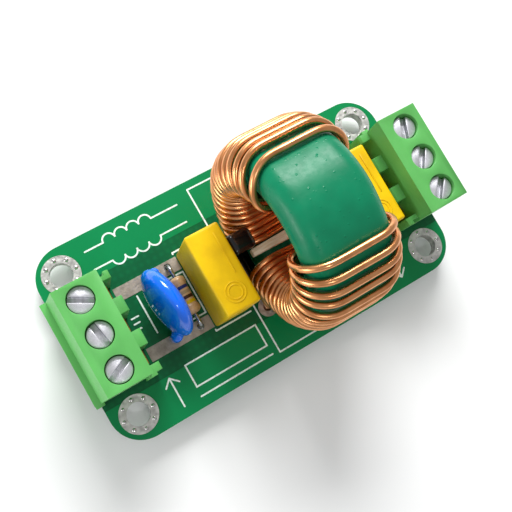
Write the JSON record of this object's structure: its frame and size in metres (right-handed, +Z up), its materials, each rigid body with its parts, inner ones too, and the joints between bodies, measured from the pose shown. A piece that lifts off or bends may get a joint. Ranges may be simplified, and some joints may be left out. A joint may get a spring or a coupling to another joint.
{
  "type": "mains line filter board",
  "caption": "Mains line filter board: an upright toroidal common-mode choke, film capacitors, varistor and discharge resistor between two screw terminal blocks.",
  "frame": {"origin": "centre of the four mounting holes on the underside of the board", "axes": "+X from the input block to the output block along the board, +Z up from the board"},
  "size_m": [0.0618, 0.031, 0.0314],
  "materials": {
    "board_mask": "green solder mask on glass-epoxy",
    "plating": "hot-tinned copper, uneven",
    "track_tin": "dull tinned copper",
    "solder": "bright solder",
    "white_ink": "printed ink",
    "block_plastic": "moulded green plastic, satin",
    "screw_steel": "zinc plated",
    "clamp_steel": "nickel plated",
    "contact_brass": "bare rolled brass",
    "capacitor_box": "moulded yellow box, satin",
    "lead_tin": "tinned wire",
    "varistor_coat": "dipped blue epoxy, glossy",
    "resistor_lacquer": "beige lacquer",
    "resistor_bands": "painted rings",
    "core_coat": "green epoxy coat",
    "enamelled_copper": "enamelled copper wire",
    "divider_board": "pale fibre strip",
    "black_plastic": "moulded black nylon"
  },
  "bodies": {
    "filter": {"circuit_board": "board_mask", "hole_plating_1": "plating", "hole_plating_2": "plating", "hole_plating_3": "plating", "hole_plating_4": "plating", "tinned_tracks": "track_tin", "choke_pads": "solder", "silkscreen": "white_ink", "solder_joints": "solder", "input_housing": "block_plastic", "input_contact_1": "contact_brass", "input_contact_2": "contact_brass", "input_contact_3": "contact_brass", "output_housing": "block_plastic", "output_contact_1": "contact_brass", "output_contact_2": "contact_brass", "output_contact_3": "contact_brass", "input_capacitor": "capacitor_box", "input_capacitor_leads": "lead_tin", "output_capacitor": "capacitor_box", "output_capacitor_leads": "lead_tin", "varistor_disc": "varistor_coat", "varistor_leads": "lead_tin", "resistor_body": "resistor_lacquer", "resistor_bands": "resistor_bands", "resistor_leads": "lead_tin", "choke_core": "core_coat", "choke_winding_a": "enamelled_copper", "choke_winding_b": "enamelled_copper", "choke_divider": "divider_board", "choke_base": "black_plastic"},
    "input_screw_1_turn": {"input_screw_1": "screw_steel"},
    "input_clamp_1_rise": {"input_clamp_1": "clamp_steel"},
    "input_screw_2_turn": {"input_screw_2": "screw_steel"},
    "input_clamp_2_rise": {"input_clamp_2": "clamp_steel"},
    "input_screw_3_turn": {"input_screw_3": "screw_steel"},
    "input_clamp_3_rise": {"input_clamp_3": "clamp_steel"},
    "output_screw_1_turn": {"output_screw_1": "screw_steel"},
    "output_clamp_1_rise": {"output_clamp_1": "clamp_steel"},
    "output_screw_2_turn": {"output_screw_2": "screw_steel"},
    "output_clamp_2_rise": {"output_clamp_2": "clamp_steel"},
    "output_screw_3_turn": {"output_screw_3": "screw_steel"},
    "output_clamp_3_rise": {"output_clamp_3": "clamp_steel"}
  },
  "joints": [
    {"name": "input_screw_1", "type": "hinge", "parent": "filter", "child": "input_screw_1_turn", "pos_m": [-0.026, 0.00508, 0.016], "axis": [0, 0, 1], "range_deg": [-2160, 0]},
    {"name": "input_clamp_1", "type": "slide", "parent": "filter", "child": "input_clamp_1_rise", "axis": [0, 0, 1], "range_m": [0, 0.0027]},
    {"name": "input_screw_2", "type": "hinge", "parent": "filter", "child": "input_screw_2_turn", "pos_m": [-0.026, 0, 0.016], "axis": [0, 0, 1], "range_deg": [-2160, 0]},
    {"name": "input_clamp_2", "type": "slide", "parent": "filter", "child": "input_clamp_2_rise", "axis": [0, 0, 1], "range_m": [0, 0.0027]},
    {"name": "input_screw_3", "type": "hinge", "parent": "filter", "child": "input_screw_3_turn", "pos_m": [-0.026, -0.00508, 0.016], "axis": [0, 0, 1], "range_deg": [-2160, 0]},
    {"name": "input_clamp_3", "type": "slide", "parent": "filter", "child": "input_clamp_3_rise", "axis": [0, 0, 1], "range_m": [0, 0.0027]},
    {"name": "output_screw_1", "type": "hinge", "parent": "filter", "child": "output_screw_1_turn", "pos_m": [0.026, 0.00508, 0.016], "axis": [0, 0, 1], "range_deg": [-2160, 0]},
    {"name": "output_clamp_1", "type": "slide", "parent": "filter", "child": "output_clamp_1_rise", "axis": [0, 0, 1], "range_m": [0, 0.0027]},
    {"name": "output_screw_2", "type": "hinge", "parent": "filter", "child": "output_screw_2_turn", "pos_m": [0.026, 0, 0.016], "axis": [0, 0, 1], "range_deg": [-2160, 0]},
    {"name": "output_clamp_2", "type": "slide", "parent": "filter", "child": "output_clamp_2_rise", "axis": [0, 0, 1], "range_m": [0, 0.0027]},
    {"name": "output_screw_3", "type": "hinge", "parent": "filter", "child": "output_screw_3_turn", "pos_m": [0.026, -0.00508, 0.016], "axis": [0, 0, 1], "range_deg": [-2160, 0]},
    {"name": "output_clamp_3", "type": "slide", "parent": "filter", "child": "output_clamp_3_rise", "axis": [0, 0, 1], "range_m": [0, 0.0027]}
  ],
  "couplings": [
    {"joint": "input_screw_1", "follows": "input_clamp_1", "rad_per_m": -13963},
    {"joint": "input_screw_2", "follows": "input_clamp_2", "rad_per_m": -13963},
    {"joint": "input_screw_3", "follows": "input_clamp_3", "rad_per_m": -13963},
    {"joint": "output_screw_1", "follows": "output_clamp_1", "rad_per_m": -13963},
    {"joint": "output_screw_2", "follows": "output_clamp_2", "rad_per_m": -13963},
    {"joint": "output_screw_3", "follows": "output_clamp_3", "rad_per_m": -13963}
  ]
}
